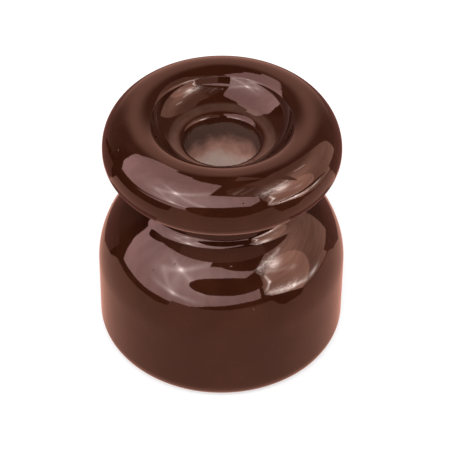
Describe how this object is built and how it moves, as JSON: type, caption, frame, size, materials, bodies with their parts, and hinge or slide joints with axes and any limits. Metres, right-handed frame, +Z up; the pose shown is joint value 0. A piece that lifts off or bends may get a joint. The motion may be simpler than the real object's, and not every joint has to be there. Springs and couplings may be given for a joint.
{
  "type": "ceramic knob insulator",
  "caption": "Brown glazed ceramic knob insulator with a round dished head, a wire groove, a rounded shoulder and a central screw bore.",
  "frame": {"origin": "centre of the flat foot, where the screw bore's axis meets the surface that the insulator is screwed to", "axes": "+Z up the screw bore, away from the wall; the part is round about Z, so +X and +Y are any two sideways directions"},
  "size_m": [0.02, 0.02, 0.0216],
  "materials": {
    "glaze": "dark red-brown gloss glaze, with bare light ceramic in the bore and under the foot"
  },
  "bodies": {
    "root": {"insulator": "glaze"}
  },
  "joints": []
}
